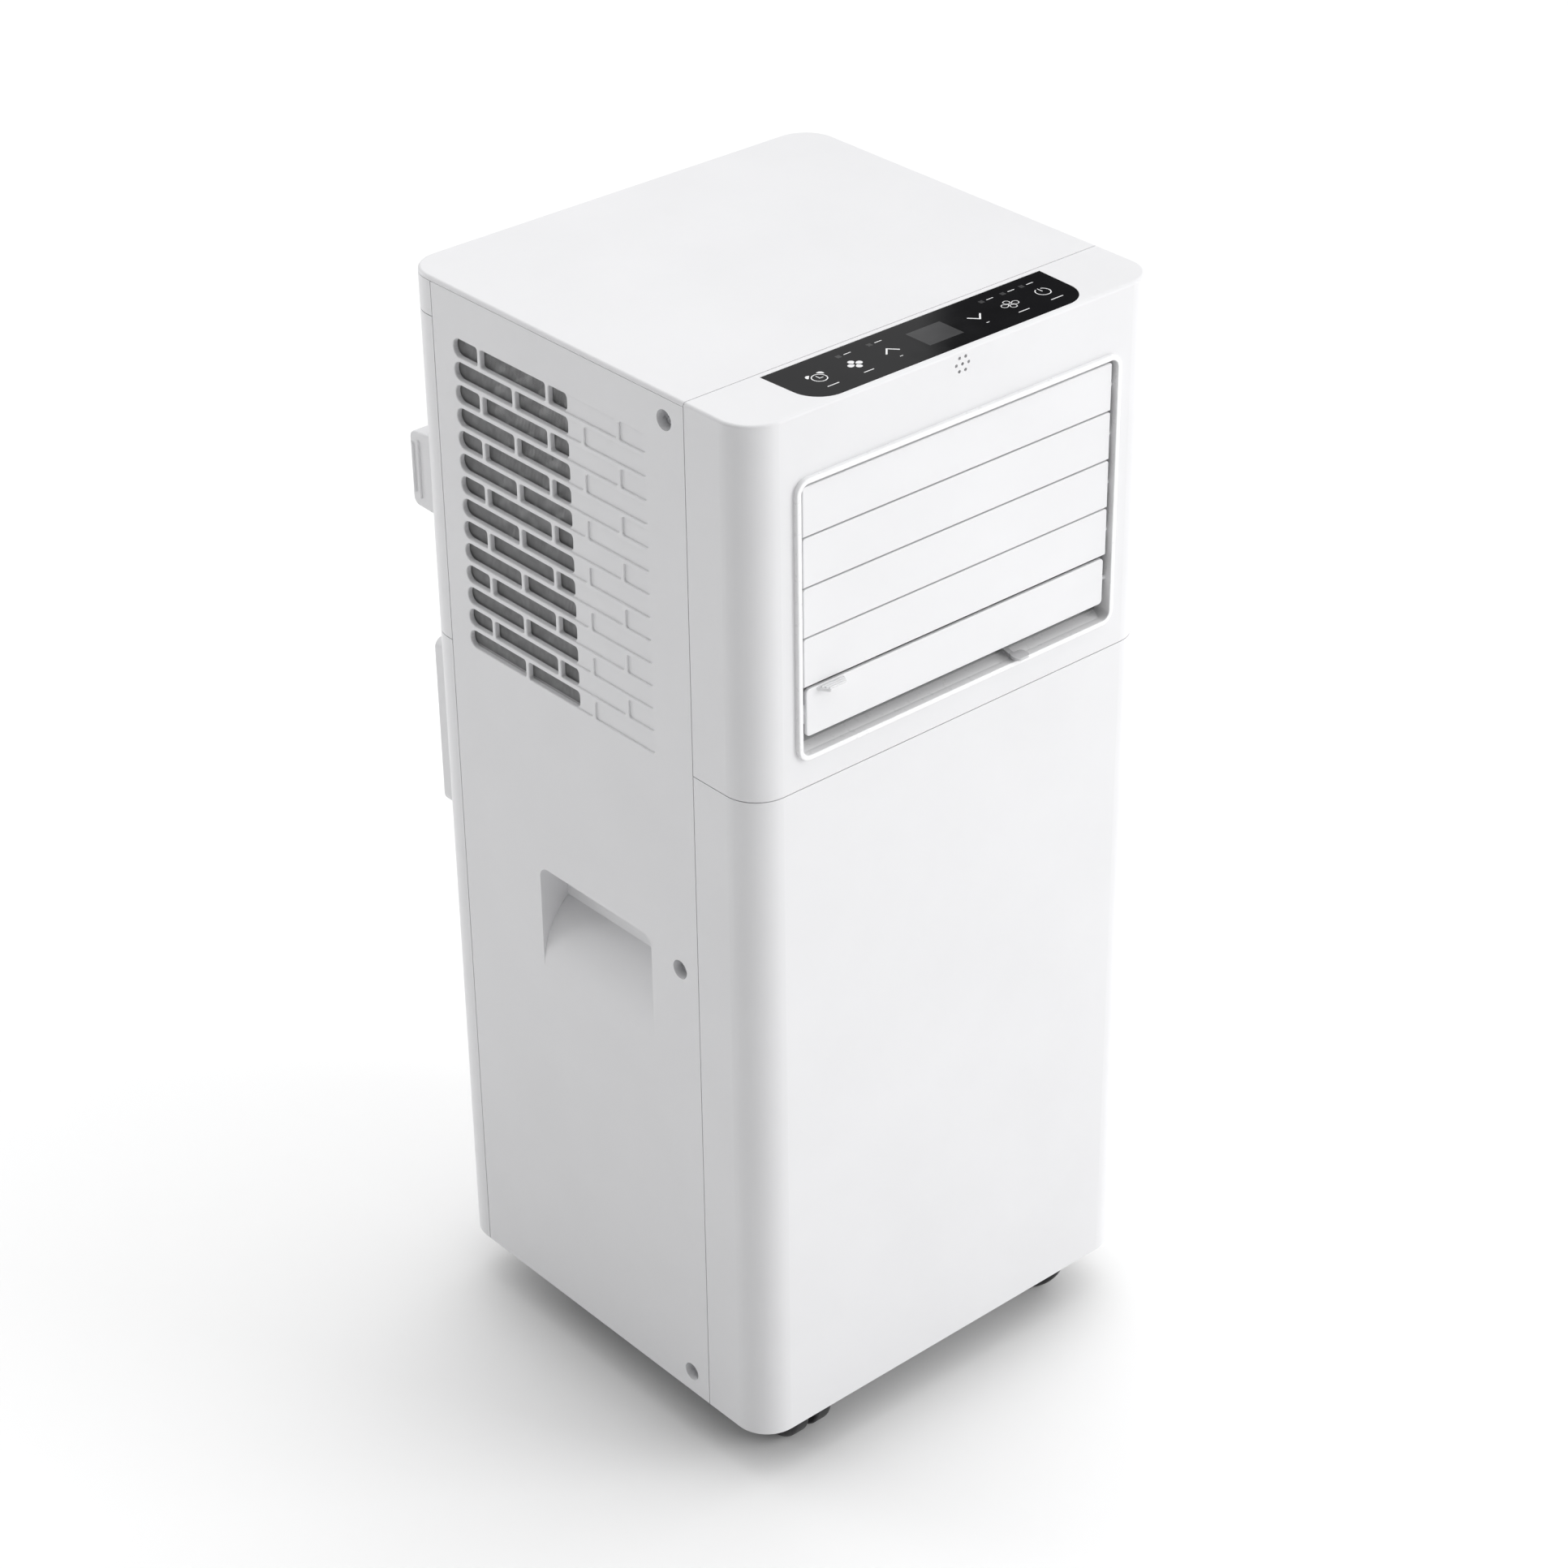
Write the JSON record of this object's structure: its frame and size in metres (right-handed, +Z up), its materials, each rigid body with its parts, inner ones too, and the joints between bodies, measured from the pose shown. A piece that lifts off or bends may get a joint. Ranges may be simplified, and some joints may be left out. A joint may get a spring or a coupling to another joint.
{
  "type": "portable air conditioner",
  "caption": "Upright portable air conditioner with front louvre slats, side intake grilles, hand grips, touch panel on top, rear exhaust collar and twin-wheel castors.",
  "frame": {"origin": "on the floor under the middle of the machine's overall box", "axes": "+Z up, -Y the front with the air outlet and control panel, +X to the right as seen from the front"},
  "size_m": [0.302, 0.3274, 0.703],
  "materials": {
    "black_glass": "polished",
    "black_rubber": "matt",
    "capacitor_can": "drawn can",
    "castor_black": "moulded",
    "circuit_board": "solder mask",
    "coil_aluminium": "bare fins",
    "collar_white": "moulded",
    "compressor_black": "gloss enamel",
    "copper_line": "drawn copper",
    "duct_plastic": "moulded",
    "fan_plastic": "moulded",
    "filter_mesh": "woven nylon mesh",
    "grey_plastic": "moulded",
    "screw_steel": "nickel plated",
    "shell_white": "fine moulded grain",
    "slat_white": "fine moulded grain",
    "trim_white": "satin",
    "zinc_steel": "zinc plated"
  },
  "bodies": {
    "cabinet": {"accumulator": "compressor_black", "base_pan": "grey_plastic", "compressor": "compressor_black", "compressor_feet": "black_rubber", "condenser_coil": "coil_aluminium", "condenser_motor": "zinc_steel", "condenser_scroll": "grey_plastic", "control_overlay": "black_glass", "cord_gland": "black_rubber", "discharge_line": "copper_line", "display_board": "circuit_board", "electric_box": "zinc_steel", "evaporator_coil": "coil_aluminium", "evaporator_motor": "zinc_steel", "exhaust_collar": "collar_white", "front_lower_panel": "shell_white", "front_upper_panel": "shell_white", "liquid_line": "copper_line", "louvre_trim": "trim_white", "main_board": "circuit_board", "mid_deck": "grey_plastic", "outlet_duct": "duct_plastic", "panel_screws": "screw_steel", "rear_lower_panel": "shell_white", "rear_upper_panel": "shell_white", "run_capacitor": "capacitor_can", "side_panel_left": "shell_white", "side_panel_right": "shell_white", "suction_line": "copper_line", "top_cover": "shell_white"},
    "filter_left": {"filter_cassette_left": "shell_white", "filter_screen_left": "filter_mesh"},
    "filter_right": {"filter_cassette_right": "shell_white", "filter_screen_right": "filter_mesh"},
    "slat_1": {"slat_1": "slat_white"},
    "slat_2": {"slat_2": "slat_white"},
    "slat_3": {"slat_3": "slat_white"},
    "slat_4": {"slat_4": "slat_white"},
    "slat_5": {"slat_5": "slat_white"},
    "slat_link": {"slat_link": "duct_plastic"},
    "vane_1": {"vane_1": "duct_plastic"},
    "vane_2": {"vane_2": "duct_plastic"},
    "vane_3": {"vane_3": "duct_plastic"},
    "vane_4": {"vane_4": "duct_plastic"},
    "vane_5": {"vane_5": "duct_plastic"},
    "vane_link": {"vane_link": "duct_plastic"},
    "evaporator_wheel": {"evaporator_wheel": "fan_plastic"},
    "condenser_wheel": {"condenser_wheel": "fan_plastic"},
    "drain_plug": {"drain_plug": "black_rubber"},
    "castor_swivel_front_left": {"castor_swivel_front_left": "castor_black"},
    "castor_wheels_front_left": {"castor_wheels_front_left": "castor_black"},
    "castor_swivel_front_right": {"castor_swivel_front_right": "castor_black"},
    "castor_wheels_front_right": {"castor_wheels_front_right": "castor_black"},
    "castor_swivel_rear_left": {"castor_swivel_rear_left": "castor_black"},
    "castor_wheels_rear_left": {"castor_wheels_rear_left": "castor_black"},
    "castor_swivel_rear_right": {"castor_swivel_rear_right": "castor_black"},
    "castor_wheels_rear_right": {"castor_wheels_rear_right": "castor_black"}
  },
  "joints": [
    {"name": "filter_left_draw", "type": "slide", "parent": "cabinet", "child": "filter_left", "axis": [0, 1, 0], "range_m": [0, 0.15]},
    {"name": "filter_right_draw", "type": "slide", "parent": "cabinet", "child": "filter_right", "axis": [0, 1, 0], "range_m": [0, 0.15]},
    {"name": "slat_5_tilt", "type": "hinge", "parent": "cabinet", "child": "slat_5", "pos_m": [0, -0.1538, 0.52415], "axis": [1, 0, 0], "range_deg": [0, 80]},
    {"name": "slat_4_tilt", "type": "hinge", "parent": "cabinet", "child": "slat_4", "pos_m": [0, -0.1538, 0.5551], "axis": [1, 0, 0], "range_deg": [0, 80]},
    {"name": "slat_3_tilt", "type": "hinge", "parent": "cabinet", "child": "slat_3", "pos_m": [0, -0.1538, 0.58515], "axis": [1, 0, 0], "range_deg": [0, 80]},
    {"name": "slat_2_tilt", "type": "hinge", "parent": "cabinet", "child": "slat_2", "pos_m": [0, -0.1538, 0.6152], "axis": [1, 0, 0], "range_deg": [0, 80]},
    {"name": "slat_1_tilt", "type": "hinge", "parent": "cabinet", "child": "slat_1", "pos_m": [0, -0.1538, 0.64525], "axis": [1, 0, 0], "range_deg": [0, 80]},
    {"name": "slat_link_hinge", "type": "hinge", "parent": "slat_5", "child": "slat_link", "pos_m": [-0.11385, -0.14614, 0.51772], "axis": [1, 0, 0], "range_deg": [-80, 0]},
    {"name": "vane_4_swing", "type": "hinge", "parent": "cabinet", "child": "vane_4", "pos_m": [0.043, -0.1258, 0.57949], "axis": [0, 0, 1], "range_deg": [-30, 30]},
    {"name": "vane_1_swing", "type": "hinge", "parent": "cabinet", "child": "vane_1", "pos_m": [-0.086, -0.1258, 0.57949], "axis": [0, 0, 1], "range_deg": [-30, 30]},
    {"name": "vane_2_swing", "type": "hinge", "parent": "cabinet", "child": "vane_2", "pos_m": [-0.043, -0.1258, 0.57949], "axis": [0, 0, 1], "range_deg": [-30, 30]},
    {"name": "vane_3_swing", "type": "hinge", "parent": "cabinet", "child": "vane_3", "pos_m": [0, -0.1258, 0.57949], "axis": [0, 0, 1], "range_deg": [-30, 30]},
    {"name": "vane_5_swing", "type": "hinge", "parent": "cabinet", "child": "vane_5", "pos_m": [0.086, -0.1258, 0.57949], "axis": [0, 0, 1], "range_deg": [-30, 30]},
    {"name": "vane_link_hinge", "type": "hinge", "parent": "vane_4", "child": "vane_link", "pos_m": [0.043, -0.1178, 0.50528], "axis": [0, 0, 1], "range_deg": [-30, 30]},
    {"name": "evaporator_wheel_spin", "type": "hinge", "parent": "cabinet", "child": "evaporator_wheel", "pos_m": [0, -0.0718, 0.5651], "axis": [1, 0, 0], "continuous": true},
    {"name": "condenser_wheel_spin", "type": "hinge", "parent": "cabinet", "child": "condenser_wheel", "pos_m": [0, 0.0442, 0.2], "axis": [0, 1, 0], "continuous": true},
    {"name": "drain_plug_pull", "type": "slide", "parent": "cabinet", "child": "drain_plug", "axis": [0, 1, 0], "range_m": [0, 0.03]},
    {"name": "castor_front_left_swivel", "type": "hinge", "parent": "cabinet", "child": "castor_swivel_front_left", "pos_m": [-0.0985, -0.1073, 0.045], "axis": [0, 0, 1], "continuous": true},
    {"name": "castor_front_left_roll", "type": "hinge", "parent": "castor_swivel_front_left", "child": "castor_wheels_front_left", "pos_m": [-0.0985, -0.1223, 0.02], "axis": [1, 0, 0], "continuous": true},
    {"name": "castor_front_right_swivel", "type": "hinge", "parent": "cabinet", "child": "castor_swivel_front_right", "pos_m": [0.0985, -0.1073, 0.045], "axis": [0, 0, 1], "continuous": true},
    {"name": "castor_front_right_roll", "type": "hinge", "parent": "castor_swivel_front_right", "child": "castor_wheels_front_right", "pos_m": [0.11149, -0.1148, 0.02], "axis": [0.5, 0.866, 0], "continuous": true},
    {"name": "castor_rear_left_swivel", "type": "hinge", "parent": "cabinet", "child": "castor_swivel_rear_left", "pos_m": [-0.0985, 0.0877, 0.045], "axis": [0, 0, 1], "continuous": true},
    {"name": "castor_rear_left_roll", "type": "hinge", "parent": "castor_swivel_rear_left", "child": "castor_wheels_rear_left", "pos_m": [-0.09146, 0.07446, 0.02], "axis": [0.8829, 0.4695, 0], "continuous": true},
    {"name": "castor_rear_right_swivel", "type": "hinge", "parent": "cabinet", "child": "castor_swivel_rear_right", "pos_m": [0.0985, 0.0877, 0.045], "axis": [0, 0, 1], "continuous": true},
    {"name": "castor_rear_right_roll", "type": "hinge", "parent": "castor_swivel_rear_right", "child": "castor_wheels_rear_right", "pos_m": [0.0899, 0.07541, 0.02], "axis": [0.8192, -0.5736, 0], "continuous": true}
  ],
  "couplings": [
    {"joint": "slat_4_tilt", "follows": "slat_5_tilt", "ratio": 1},
    {"joint": "slat_3_tilt", "follows": "slat_5_tilt", "ratio": 1},
    {"joint": "slat_2_tilt", "follows": "slat_5_tilt", "ratio": 1},
    {"joint": "slat_1_tilt", "follows": "slat_5_tilt", "ratio": 1},
    {"joint": "slat_link_hinge", "follows": "slat_5_tilt", "ratio": -1},
    {"joint": "vane_1_swing", "follows": "vane_4_swing", "ratio": 1},
    {"joint": "vane_2_swing", "follows": "vane_4_swing", "ratio": 1},
    {"joint": "vane_3_swing", "follows": "vane_4_swing", "ratio": 1},
    {"joint": "vane_5_swing", "follows": "vane_4_swing", "ratio": 1},
    {"joint": "vane_link_hinge", "follows": "vane_4_swing", "ratio": -1}
  ]
}
